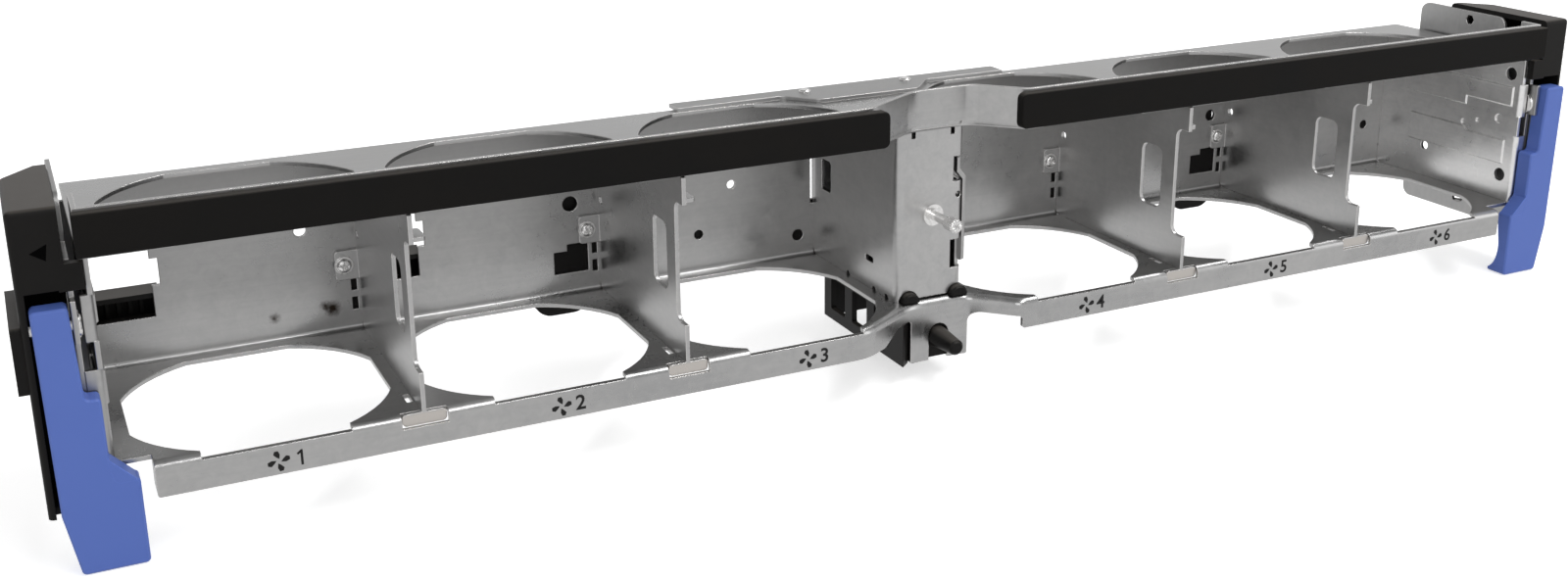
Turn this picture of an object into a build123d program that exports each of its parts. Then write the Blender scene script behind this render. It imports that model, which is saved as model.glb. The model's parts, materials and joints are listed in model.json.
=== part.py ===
"""Fan cage of a low server chassis: a folded sheet channel with six fan bays,
a tower in the middle, boxed ends and two release levers.

Frame: X along the row of bays, Y from the open front to the back wall, Z up.
The origin is on the outer face of the back wall, halfway between the end
walls and halfway up the bays. Sizes are in millimetres. Heights of the pieces
are counted from the inner face of the lower plate, and depths from the front.
"""
import os

from build123d import *

# Bays and folded sheet
bay_pitch = 62.0
bays_each_side = 3
bay_depth = 58.5
bay_height = 44.5
sheet = 1.0
bend_radius = 2.0
tower_width = 19.4
slack_left = 0.3
slack_right = 3.1

# Round air openings in both plates, one pair for each bay
opening_radius = 29.4
opening_setback = 27.5
opening_side_margin = 3.5
opening_back_margin = 4.0
mouth_width = 30.6
mouth_reach = 3.5
mouth_drop = 1.1

# Front lips
lower_lip = 7.6
upper_lip = 9.8
lower_lip_left_stop = 6.8
lower_lip_right_stop = 6.2
upper_lip_right_end = 1.4
lip_corner = 0.6
end_setback = 5.0
plate_overhang = 2.0
recess_depth = 10.5
recess_left_foot = 14.7
recess_left_head = 3.4
recess_right_head = 0.3
recess_right_foot = 10.4
recess_left_radius = 12.0
recess_right_radius = 4.0
foot_notch_width = 10.2
foot_notch_drop = 3.0
foot_notch_depth = 2.1
lip_slit_width = 15.0
lip_slit_height = 0.9

# Tongue folded down from the middle of the lower lip
tongue_drop = 16.2
tongue_left = 3.1
tongue_right = 0.5
tongue_corner = 3.0
arch_width = 5.7
arch_rise = 9.6
arch_offset = 1.9
short_lip = 4.4
short_lip_left = 5.5
short_lip_slope = 5.0
short_lip_right = 11.0

# Openings of the back wall, measured from the left of a bay and from its floor
window_left = 0.8
window_right = 14.4
window_low = 10.8
window_high = 27.2
window_notch = 1.8
notch_low = 18.4
notch_high = 24.9
key_left = 49.2
key_right = 58.4
key_low = 5.4
key_high = 13.1
key_step_x = 3.6
key_step_z = 1.8
key_bay = 1
slot_x = 60.2
slot_width = 1.4
slot_height = 3.1
slot_gap = 1.8
slot_low = 4.9
wall_gap_width = 1.0
wall_gap_low = 14.5
wall_gap_high = 30.0
wall_holes = (
    (0, 48.6, 26.6, 1.45),
    (1, 54.1, 23.9, 2.0),
    (2, 37.3, 23.0, 1.25),
    (2, 27.6, 10.4, 1.3),
    (2, 57.1, 5.9, 1.6),
    (4, 55.8, 23.5, 1.75),
    (5, 57.7, 13.1, 1.4),
)

# Dividers between the bays
divider_front = 0.9
divider_step = 5.8
divider_step_high = 38.0
divider_step_low = 9.0
divider_corner = 2.4
divider_window_front = 11.0
divider_window_width = 8.6
divider_window_low = 14.4
divider_window_high = 31.2
divider_window_corner = 2.2
divider_hole_radius = 1.1
divider_hole_back = 3.5
divider_hole_height = 24.5
stop_tab_front = 2.5
stop_tab_length = 6.5
stop_tab_width = 4.0
hook_slot_front = 7.4
hook_slot_length = 4.6
hook_slot_width = 1.3
hook_slot_left = 2.2
flange_width = 6.6
flange_low = 13.0
flange_high = 20.4
screw_x = 4.0
screw_z = 16.8
screw_shank_radius = 1.2
screw_length = 4.5
screw_head_radius = 1.75
screw_head_height = 1.3
foot_width = 9.8
foot_drop = 2.8

# Tower between the two rows of bays
tower_setback = 12.5
tower_slot_back = 5.0
tower_slot_length = 5.4
tower_slot_low = 19.8
tower_slot_high = 28.5
tower_floor_gap = 0.5
tower_top_slot_width = 1.2
tower_top_slot_height = 1.8
tower_top_slot_insets = (4.5, 3.6)
tower_notch_width = 3.2
tower_notch_depth = 4.0
tower_notch_low = 30.2
tower_notch_high = 36.8
tower_window_width = 3.7
tower_window_low = 7.2
tower_window_high = 14.8
tower_hole_inset = 1.5
tower_hole_height = 26.7
tower_hole_radius = 0.9
keyhole_depth = 26.6
keyhole_height = 8.0
keyhole_length = 4.2
keyhole_width = 1.6
wall_notch_depths = (17.5, 24.0, 38.2)
wall_notch_radius = 1.0
side_plate_thickness = 0.8
side_plate_front = 13.0
side_plate_back = 40.0
side_plate_low = 8.4
side_plate_high = 30.3
side_plate_corner = 1.2
side_hook_depth = 1.8
side_hook_inset = 1.7
side_hook_jog = 2.9
side_hook_high = 36.2
stud_offset = 0.5
stud_height = 22.4
stud_length = 12.0
stud_radius = 1.25
stud_ring_radius = 2.8
stud_ring_height = 0.8
knurl_radius = 1.8
knurl_length = 4.4
knurl_chamfer = 0.5

# End walls and outer plates of the boxed ends
wall_flange_low = 20.2
wall_flange_mid = 26.2
wall_flange_high = 36.0
upper_flange_gap = 1.0
emboss = 0.5
emboss_slope = 30.0
upper_pad_front = 7.7
upper_pad_back = 9.5
upper_pad_low = 26.3
upper_pad_high = 35.0
upper_pad_step = 2.7
lower_pad_front = 8.9
lower_pad_back = 12.5
lower_pad_low = 11.0
lower_pad_high = 19.7
lower_pad_step = 1.2
pad_step_depth = 24.5
dimples = (
    (12.1, 24.4, 1.4),
    (19.7, 22.2, 0.8),
    (25.0, 20.6, 1.0),
)
wall_hole_depth = 9.5
wall_hole_low = 7.6
wall_hole_drop = 5.8
wall_hole_radius = 1.9
rear_hole_back = 20.3
rear_hole_height = 9.8
rear_hole_radius = 1.4
outer_plate_gap = 2.4
outer_plate_front = 5.2
outer_plate_back = 10.2
outer_plate_low = 9.1
outer_plate_high = 44.0
outer_plate_corner = 3.0
nose_front = 2.5
nose_low = 27.0
outer_tab_front = 16.8
outer_tab_high = 54.0
outer_flange_low = 1.0
outer_hole_back = 16.8
outer_hole_height = 8.5
outer_hole_radius = 2.2
oval_depth = 27.0
oval_height = 5.0
oval_length = 4.0
oval_width = 2.0
hex_depth = 30.0
hex_height = 51.3
hex_radius = 1.5

# Moulded end housings
housing_gap = 0.1
housing_width = 9.3
housing_front = 3.0
housing_back = 38.5
housing_low = 9.4
housing_high = 55.2
housing_wall = 1.5
housing_round = 1.2
housing_chamfer = 8.0
cap_low = 38.4
floor_front = 5.5
web_front = 14.6
rail_low = 17.2
rail_high = 31.3
rail_proud = 2.0
rail_round = 0.8
hood_low = 38.0
hood_high = 43.6
hood_reach = 3.3

# Release levers and their pivots
pivot_depth = 6.0
pivot_height = 30.2
pin_radius = 1.5
pin_play = 0.05
pin_head_radius = 2.8
pin_head_height = 0.7
lever_outer_play = 0.4
lever_top = 35.6
lever_top_gap = 0.5
lever_neck_gap = 0.3
lever_neck_height = 16.0
lever_waist_height = 2.1
lever_foot_reach = 5.3
lever_shoulder = 4.4
lever_shoulder_drop = 2.3
lever_foot_inset = 2.9
lever_knee_drop = 7.8
lever_bottom = 21.4
lever_thickness = 4.5
lever_grip_depth = 3.4
lever_grip_drop = 15.0
lever_hook_depth = 6.2
lever_hook_height = 1.2
lever_round = 1.0
lever_rim_chamfer = 0.4
lever_wall = 1.3
lever_pocket_low = 4.0
lever_rib_heights = (10.0, 22.0)
boss_radius = 4.0
boss_play = 0.6
arm_gap = 0.4
arm_thickness = 1.2
arm_radius = 4.2
arm_depth = 9.0
arm_low = 8.0
cam_depth = 12.5
cam_height = 22.0
cam_width = 5.0

# Plastic strips, rear bracket and moulded parts behind and below the sheet
strip_thickness = 2.5
strip_low = 1.3
strip_high = 10.2
strip_left_end = -0.5
strip_left_stop = 10.6
strip_right_start = 6.9
strip_right_end = 0.2
strip_corner = 1.6
strip_edge = 0.4
bracket_left = 52.0
bracket_right = 47.0
bracket_depth = 4.5
bracket_overhang = 1.5
bracket_pad = 15.0
bracket_pad_depth = 12.5
bracket_slope = 7.0
bracket_round = 3.0
rivet_left = 14.6
rivet_right = 16.3
rivet_back = 2.9
rivet_radius = 0.8
rivet_head_radius = 1.6
rivet_head_height = 0.7
connector_left = 0.4
connector_width = 15.6
connector_depth = 7.5
connector_low = 8.0
connector_high = 16.3
connector_wall = 1.2
connector_contacts = 4
connector_pitch = 2.54
contact_width = 0.9
contact_setback = 4.6
tray_low = 3.0
tray_high = 15.2
tray_thickness = 1.2
tray_shelf = 6.0
tray_inset = 1.5
tray_play = 0.1
guide_left = 43.5
guide_right = 59.0
guide_depth = 8.5
guide_low = 6.0
guide_high = 14.0
guide_corner = 5.0
guide_wall = 1.6
ear_left = 51.2
ear_right = 56.4
ear_head_right = 58.4
ear_head_low = 19.0
ear_high = 27.2
centre_drop = 16.0
centre_front = 11.7
centre_back = 7.5
centre_wing_front = 8.6
centre_wing_width = 2.7
centre_wing_depth = 10.9
centre_wing_top = 4.7
centre_wall = 1.5
centre_gap = 0.1
centre_window_depths = (16.0, 28.0, 40.0)
centre_window_length = 8.0
hook_radius = 2.5
hook_left_inset = 3.7
hook_right_inset = 1.5
hook_reach = 1.9
hook_post_width = 2.4
hook_post_depth = 2.6
hook_post_shift = 0.9
hook_play = 0.2
hook_chamfer = 0.5
guide_pin_radius = 2.8
guide_pin_tip_radius = 2.0
guide_pin_height = 10.2
guide_pin_length = 10.5
guide_pin_shoulder = 1.5
guide_pin_chamfer = 0.6

# How near an edge or corner lies to the place it is chosen by
near = 0.05

# Places worked out from those sizes
front = -(bay_depth + sheet)
inner_back = -sheet
floor = -bay_height / 2
roof = bay_height / 2
group_length = bays_each_side * bay_pitch
half_span = (2 * group_length + tower_width + slack_left + slack_right) / 2
tower_x = (slack_left - slack_right) / 2
tower_left = tower_x - tower_width / 2
tower_right = tower_x + tower_width / 2
left_start = tower_left - group_length
bay_starts = [left_start + i * bay_pitch for i in range(bays_each_side)]
bay_starts += [tower_right + i * bay_pitch for i in range(bays_each_side)]
divider_places = [left_start + i * bay_pitch for i in range(1, bays_each_side)]
divider_places += [tower_right + i * bay_pitch for i in range(1, bays_each_side)]
wall_face = half_span + sheet
plate_inner = wall_face + outer_plate_gap
plate_outer = plate_inner + sheet
housing_inner = plate_outer + housing_gap
housing_outer = housing_inner + housing_width
pivot_y = front + pivot_depth
pivot_z = floor + pivot_height
lower_start = -half_span + lower_lip_left_stop
last_bay_end = tower_right + group_length
lower_end = last_bay_end - lower_lip_right_stop
upper_half = half_span + plate_overhang
upper_end = last_bay_end + upper_lip_right_end
arch_x = tower_x + arch_offset
plate_top = roof + sheet
tower_front = front + tower_setback
guide_bays = (bay_starts[key_bay], bay_starts[bays_each_side + key_bay])
hook_places = (tower_left + hook_left_inset, tower_right - hook_right_inset)
post_places = (hook_places[0] + hook_post_shift / 2, hook_places[1] - hook_post_shift)
post_front = tower_front + sheet + hook_play
hook_front = tower_front - hook_reach
hook_length = post_front + sheet / 2 - hook_front

os.makedirs("parts", exist_ok=True)


def save(builder, name):
    builder.part.label = name
    export_step(builder.part, f"parts/{name}.step")


def save_pair(builder, name):
    """Write a piece of the right end and its mirror image for the left end."""
    save(builder, f"right_{name}")
    with BuildPart() as twin:
        add(mirror(builder.part, about=Plane.YZ))
    save(twin, f"left_{name}")


def front_plane(y):
    """Sketch plane seen from the open front: x to the right, z up."""
    return Plane(origin=(0, y, 0), x_dir=(1, 0, 0), z_dir=(0, -1, 0))


def side_plane(x):
    """Sketch plane with y to the right and z up, facing +X."""
    return Plane(origin=(x, 0, 0), x_dir=(0, 1, 0), z_dir=(1, 0, 0))


def box_between(low, high, mode=Mode.ADD):
    """A box given by two opposite corners, inside the current part."""
    middle = [(a + b) / 2 for a, b in zip(low, high)]
    size = [b - a for a, b in zip(low, high)]
    with Locations(tuple(middle)):
        Box(*size, mode=mode)


def side_rectangle(y_range, z_range, mode=Mode.ADD, corner=0.0):
    """A rectangle on a side plane, from depths and heights."""
    middle = (front + sum(y_range) / 2, floor + sum(z_range) / 2)
    width = y_range[1] - y_range[0]
    height = z_range[1] - z_range[0]
    with Locations(middle):
        if corner > 0:
            RectangleRounded(width, height, corner, mode=mode)
        else:
            Rectangle(width, height, mode=mode)


def air_opening(bay_start):
    """Plan of one round opening: flat sides and back, and a mouth in the lip."""
    centre_x = bay_start + bay_pitch / 2
    half_flat = bay_pitch / 2 - opening_side_margin
    back = inner_back - opening_back_margin
    with BuildSketch() as plan:
        with Locations((centre_x, front + opening_setback)):
            Circle(opening_radius)
        with Locations((centre_x, (front + back) / 2)):
            Rectangle(2 * half_flat, back - front, mode=Mode.INTERSECT)
        with Locations((centre_x, front)):
            Rectangle(mouth_width, 2 * mouth_reach)
    return plan.sketch


def plate_plan(left_end, right_end, left_stop, right_stop):
    """Plan of a plate: drawn back round the tower, and at an end past its lip."""
    feet = (tower_left - recess_left_foot, tower_right + recess_right_foot)
    heads = (tower_left + recess_left_head, tower_right + recess_right_head)
    with BuildSketch() as plan:
        with BuildLine():
            FilletPolyline(
                (left_end, front),
                (feet[0], front),
                (heads[0], front + recess_depth),
                (heads[1], front + recess_depth),
                (feet[1], front),
                (right_end, front),
                radius=[
                    recess_left_radius,
                    recess_left_radius,
                    recess_right_radius,
                    recess_right_radius,
                ],
            )
            Polyline((right_end, front), (right_end, 0), (left_end, 0), (left_end, front))
        make_face()
        for end, stop in ((left_end, left_stop), (right_end, right_stop)):
            if abs(end - stop) > 0:
                with Locations(((end + stop) / 2, front)):
                    Rectangle(abs(end - stop), 2 * end_setback, mode=Mode.SUBTRACT)
    return plan.sketch


def lip_band(plan, bottom, height):
    """A strip of sheet standing along the front edge of a plate."""
    with BuildPart() as band:
        with BuildSketch(Plane.XY.offset(bottom)):
            add(plan)
            offset(plan, amount=-sheet, kind=Kind.INTERSECTION, mode=Mode.SUBTRACT)
            with Locations((0, front)):
                Rectangle(2 * upper_half, 2 * (recess_depth + sheet), mode=Mode.INTERSECT)
        extrude(amount=height)
    return band.part


def lower_lip_view():
    """Front view of the lower lip: short round the tower, with the arched tongue."""
    left = tower_left + tongue_left
    right = tower_right + tongue_right
    low = floor - lower_lip
    short = floor - short_lip
    step = tower_right + short_lip_right
    with BuildSketch(front_plane(front)) as view:
        with BuildLine():
            FilletPolyline(
                (lower_start, floor),
                (lower_start, low),
                (left - short_lip_left - short_lip_slope, low),
                (left - short_lip_left, short),
                (left, short),
                (left, floor - tongue_drop),
                (right, floor - tongue_drop),
                (right, short),
                (step, short),
                (step, low),
                (lower_end, low),
                (lower_end, floor),
                radius=[
                    lip_corner,
                    tongue_corner,
                    bend_radius,
                    sheet,
                    lip_corner,
                    lip_corner,
                    tongue_corner,
                    lip_corner,
                    lip_corner,
                    lip_corner,
                ],
            )
            Line((lower_end, floor), (lower_start, floor))
        make_face()
        with Locations((arch_x, floor - tongue_drop)):
            Rectangle(arch_width, 2 * (arch_rise - arch_width / 2), mode=Mode.SUBTRACT)
        with Locations((arch_x, floor - tongue_drop + arch_rise - arch_width / 2)):
            Circle(arch_width / 2, mode=Mode.SUBTRACT)
    return view.sketch


def wall_cuts():
    """Front view of everything punched through the back wall."""
    with BuildSketch(front_plane(0)) as view:
        for number, start in enumerate(bay_starts):
            with BuildLine():
                Polyline(
                    (start + window_left, floor + window_low),
                    (start + window_right, floor + window_low),
                    (start + window_right, floor + notch_low),
                    (start + window_right + window_notch, floor + notch_low),
                    (start + window_right + window_notch, floor + notch_high),
                    (start + window_right, floor + notch_high),
                    (start + window_right, floor + window_high),
                    (start + window_left, floor + window_high),
                    close=True,
                )
            make_face()
            if number % bays_each_side < bays_each_side - 1:
                for lift in (0, slot_height + slot_gap):
                    with Locations((start + slot_x, floor + slot_low + slot_height / 2 + lift)):
                        Rectangle(slot_width, slot_height)
            if number % bays_each_side == key_bay:
                with BuildLine():
                    Polyline(
                        (start + key_left, floor + key_low),
                        (start + key_right, floor + key_low),
                        (start + key_right, floor + key_high),
                        (start + key_left + key_step_x, floor + key_high),
                        (start + key_left + key_step_x, floor + key_high - key_step_z),
                        (start + key_left, floor + key_high - key_step_z),
                        close=True,
                    )
                make_face()
        for number, x, z, radius in wall_holes:
            with Locations((bay_starts[number] + x, floor + z)):
                Circle(radius)
        for x in divider_places:
            with Locations((x - screw_x, floor + screw_z)):
                Circle(screw_shank_radius)
        gap_middle = (tower_left - wall_gap_width / 2, floor + (wall_gap_low + wall_gap_high) / 2)
        with Locations(gap_middle):
            Rectangle(wall_gap_width, wall_gap_high - wall_gap_low)
    return view.sketch


# Cage channel: both plates, the back wall and both lips are one folded sheet
lower_plan = plate_plan(-wall_face, wall_face, lower_start, lower_end)
upper_plan = plate_plan(-upper_half, upper_half, -upper_half, upper_end)
lip_reach = recess_depth + 2 * sheet

with BuildPart() as lower_lip_part:
    add(lip_band(lower_plan, floor - tongue_drop - sheet, tongue_drop + sheet))
    extrude(lower_lip_view(), amount=-lip_reach, mode=Mode.INTERSECT)

with BuildPart() as upper_lip_part:
    add(lip_band(upper_plan, roof, upper_lip + sheet))
    box_between(
        (-upper_half, front, roof),
        (upper_end, front + lip_reach, plate_top + upper_lip),
        mode=Mode.INTERSECT,
    )

with BuildPart() as cage_channel:
    with BuildSketch(Plane.XY.offset(floor - sheet)):
        add(lower_plan)
    extrude(amount=sheet)
    add(lower_lip_part.part)
    with BuildSketch(Plane.XY.offset(roof)):
        add(upper_plan)
    extrude(amount=sheet)
    add(upper_lip_part.part)
    with BuildSketch(front_plane(0)):
        Rectangle(2 * wall_face, bay_height + 2 * sheet)
    extrude(amount=sheet)
    folds = (
        (floor, -1, lower_start, lower_end),
        (roof, 1, -upper_half, upper_end),
    )
    for level, side, start, stop in folds:
        far = level + side * sheet
        for z, low, high, radius in (
            (level, front, front + recess_depth, bend_radius),
            (far, front + sheet, front + recess_depth + sheet, bend_radius - sheet),
            (far, 0, 0, bend_radius),
            (level, inner_back, inner_back, bend_radius - sheet),
        ):
            flat = cage_channel.edges().filter_by_position(Axis.Z, z - near, z + near)
            line = flat.filter_by(
                lambda e: low - near < e.center().Y < high + near
                and start + bend_radius < e.center().X < stop - bend_radius
            )
            fillet(line, radius)
    for start in bay_starts:
        opening = air_opening(start)
        with BuildSketch(Plane.XY.offset(floor - mouth_drop)):
            add(opening)
        extrude(amount=mouth_drop + sheet, mode=Mode.SUBTRACT)
        with BuildSketch(Plane.XY.offset(roof - sheet)):
            add(opening)
        extrude(amount=mouth_drop + sheet, mode=Mode.SUBTRACT)
    for x in divider_places:
        box_between(
            (x - foot_notch_width / 2, front - sheet, floor - foot_notch_drop),
            (x + foot_notch_width / 2, front + foot_notch_depth, floor + sheet),
            mode=Mode.SUBTRACT,
        )
        box_between(
            (x - hook_slot_left, front + hook_slot_front, floor - sheet),
            (x - hook_slot_left + hook_slot_width, front + hook_slot_front + hook_slot_length, floor),
            mode=Mode.SUBTRACT,
        )
    for x in post_places:
        half = hook_post_width / 2 + hook_play / 2
        box_between(
            (x - half, post_front - hook_play / 2, floor - sheet),
            (x + half, post_front + hook_post_depth + hook_play / 2, floor),
            mode=Mode.SUBTRACT,
        )
    box_between(
        (tower_x - lip_slit_width / 2, front, plate_top),
        (tower_x + lip_slit_width / 2, front + lip_reach, plate_top + lip_slit_height),
        mode=Mode.SUBTRACT,
    )
    extrude(wall_cuts(), amount=sheet, mode=Mode.SUBTRACT)
    with BuildSketch(Plane.XY.offset(roof)):
        for x in (-rivet_left, rivet_right):
            with Locations((x, -rivet_back)):
                Circle(rivet_radius)
    extrude(amount=sheet, mode=Mode.SUBTRACT)
save(cage_channel, "cage_channel")

# Dividers: one folded sheet between two bays, with a stop tab, a foot and a flange
for number, x in zip((1, 2, 4, 5), divider_places):
    step_y = front + divider_step
    stop_tab_x = x - sheet / 2 + stop_tab_width / 2
    stop_tab_y = front + stop_tab_front + stop_tab_length / 2
    with BuildPart() as divider:
        with BuildSketch(side_plane(x - sheet / 2)):
            side_rectangle((divider_front, bay_depth), (0, bay_height))
            side_rectangle((0, divider_step), (divider_step_low, divider_step_high), Mode.SUBTRACT)
        extrude(amount=sheet)
        outline = divider.edges().filter_by(Axis.X)
        fillet(outline.group_by(Axis.Y)[-1], bend_radius)
        fillet(outline.filter_by_position(Axis.Y, step_y - near, step_y + near), divider_corner)
        with BuildSketch(side_plane(x - sheet / 2)):
            side_rectangle(
                (divider_window_front, divider_window_front + divider_window_width),
                (divider_window_low, divider_window_high),
                corner=divider_window_corner,
            )
            with Locations((-divider_hole_back, floor + divider_hole_height)):
                Circle(divider_hole_radius)
        extrude(amount=sheet, mode=Mode.SUBTRACT)
        flange_z = floor + (flange_low + flange_high) / 2
        with BuildSketch(front_plane(inner_back)):
            with Locations((x + sheet / 2 - flange_width / 2, flange_z)):
                RectangleRounded(flange_width, flange_high - flange_low, sheet)
            with Locations((x, flange_z)):
                Rectangle(sheet, flange_high - flange_low)
            with Locations((x - screw_x, floor + screw_z)):
                Circle(screw_shank_radius, mode=Mode.SUBTRACT)
        extrude(amount=sheet)
        with BuildSketch(Plane.XY.offset(floor + divider_step_high)):
            with Locations((stop_tab_x, stop_tab_y)):
                RectangleRounded(stop_tab_width, stop_tab_length, sheet)
                Rectangle(sheet, stop_tab_length)
        extrude(amount=sheet)
        with BuildSketch(front_plane(front + divider_front + sheet)):
            with Locations((x, floor - foot_drop / 2)):
                RectangleRounded(foot_width, foot_drop, sheet)
                Rectangle(2 * sheet, foot_drop)
        extrude(amount=sheet)
    save(divider, f"divider_{number}_{number + 1}")

with BuildPart() as divider_screws:
    for x in divider_places:
        with BuildSketch(front_plane(inner_back - sheet)):
            with Locations((x - screw_x, floor + screw_z)):
                Circle(screw_head_radius)
        extrude(amount=screw_head_height)
        with BuildSketch(front_plane(inner_back - sheet)):
            with Locations((x - screw_x, floor + screw_z)):
                Circle(screw_shank_radius)
        extrude(amount=-screw_length)
    heads = divider_screws.edges().filter_by(GeomType.CIRCLE).group_by(Axis.Y)[0]
    chamfer(heads, screw_head_height / 2)
save(divider_screws, "divider_screws")

# Tower: a sheet folded into a U, open at the back
with BuildPart() as tower_shell:
    with BuildSketch(Plane.XY.offset(floor)):
        with BuildLine():
            FilletPolyline(
                (tower_left, inner_back),
                (tower_left, tower_front),
                (tower_right, tower_front),
                (tower_right, inner_back),
                radius=bend_radius,
            )
            Line((tower_right, inner_back), (tower_left, inner_back))
        make_face()
        with BuildLine():
            FilletPolyline(
                (tower_left + sheet, inner_back + sheet),
                (tower_left + sheet, tower_front + sheet),
                (tower_right - sheet, tower_front + sheet),
                (tower_right - sheet, inner_back + sheet),
                radius=bend_radius - sheet,
            )
            Line((tower_right - sheet, inner_back + sheet), (tower_left + sheet, inner_back + sheet))
        make_face(mode=Mode.SUBTRACT)
    extrude(amount=bay_height)
    ends = tower_shell.edges().filter_by(Axis.X).group_by(Axis.Y)[-1]
    fillet(ends, bend_radius)
    slot_back = bay_depth - tower_slot_back
    with BuildSketch(side_plane(tower_left)):
        slot_depths = (slot_back - tower_slot_length, slot_back)
        side_rectangle(slot_depths, (tower_slot_low, tower_slot_high), corner=sheet)
        with Locations((front + keyhole_depth, floor + keyhole_height)):
            SlotOverall(keyhole_length, keyhole_width)
        for depth in wall_notch_depths:
            with Locations((front + depth, floor)):
                Circle(wall_notch_radius)
    extrude(amount=sheet, mode=Mode.SUBTRACT)
    with BuildSketch(front_plane(tower_front)):
        for x in hook_places:
            with Locations((x, floor)):
                Circle(hook_radius + hook_play)
        for x in (tower_left + tower_top_slot_insets[0], tower_right - tower_top_slot_insets[1]):
            with Locations((x, roof - tower_top_slot_height / 2)):
                Rectangle(tower_top_slot_width, tower_top_slot_height)
        with Locations((tower_x + stud_offset, floor + stud_height)):
            Circle(stud_radius)
        with Locations((tower_right - tower_hole_inset, floor + tower_hole_height)):
            Circle(tower_hole_radius)
    extrude(amount=-bend_radius, mode=Mode.SUBTRACT)
    box_between(
        (hook_places[0], tower_front, floor),
        (hook_places[1], tower_front + sheet, floor + tower_floor_gap),
        mode=Mode.SUBTRACT,
    )
    for width, depth, low, high in (
        (tower_notch_width, tower_notch_depth, tower_notch_low, tower_notch_high),
        (tower_window_width, bend_radius, tower_window_low, tower_window_high),
    ):
        box_between(
            (tower_right - width, tower_front, floor + low),
            (tower_right, tower_front + depth, floor + high),
            mode=Mode.SUBTRACT,
        )
save(tower_shell, "tower_shell")

# Plate on the right side of the tower, hooked into its notch by a joggled finger
with BuildPart() as tower_side_plate:
    with BuildSketch(side_plane(tower_right)):
        depths = (side_plate_front, side_plate_back)
        side_rectangle(depths, (side_plate_low, side_plate_high), corner=side_plate_corner)
        side_rectangle(
            (side_plate_front, side_plate_front + side_hook_depth),
            (side_plate_high - 2 * side_plate_corner, side_plate_high),
        )
    extrude(amount=side_plate_thickness)
    with BuildSketch(front_plane(front + side_plate_front)):
        outer = tower_right + side_plate_thickness
        inner = outer - side_hook_inset - side_plate_thickness
        jog_low = floor + side_plate_high
        jog_high = jog_low + side_hook_jog
        with BuildLine():
            Polyline(
                (tower_right, jog_low),
                (outer, jog_low),
                (outer, jog_low + side_plate_thickness),
                (inner + side_plate_thickness, jog_high),
                (inner + side_plate_thickness, floor + side_hook_high),
                (inner, floor + side_hook_high),
                (inner, jog_high - side_plate_thickness),
                close=True,
            )
        make_face()
    extrude(amount=-side_hook_depth)
save(tower_side_plate, "tower_side_plate")

# Stud that carries a knurled tip in front of the tower
with BuildPart() as tower_stud:
    stud_x = tower_x + stud_offset
    stud_z = floor + stud_height
    with BuildSketch(Plane(origin=(stud_x, tower_front, stud_z), x_dir=(1, 0, 0), z_dir=(0, 0, 1))):
        with BuildLine():
            Polyline(
                (0, sheet),
                (0, -stud_length),
                (knurl_radius - knurl_chamfer, -stud_length),
                (knurl_radius, -stud_length + knurl_chamfer),
                (knurl_radius, -stud_length + knurl_length - knurl_chamfer),
                (stud_radius, -stud_length + knurl_length),
                (stud_radius, -2 * stud_ring_height),
                (knurl_radius, -2 * stud_ring_height),
                (knurl_radius, -stud_ring_height),
                (stud_ring_radius, -stud_ring_height),
                (stud_ring_radius, 0),
                (stud_radius, 0),
                (stud_radius, sheet),
                close=True,
            )
        make_face()
    revolve(axis=Axis((stud_x, 0, stud_z), (0, 1, 0)))
save(tower_stud, "tower_stud")

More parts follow.
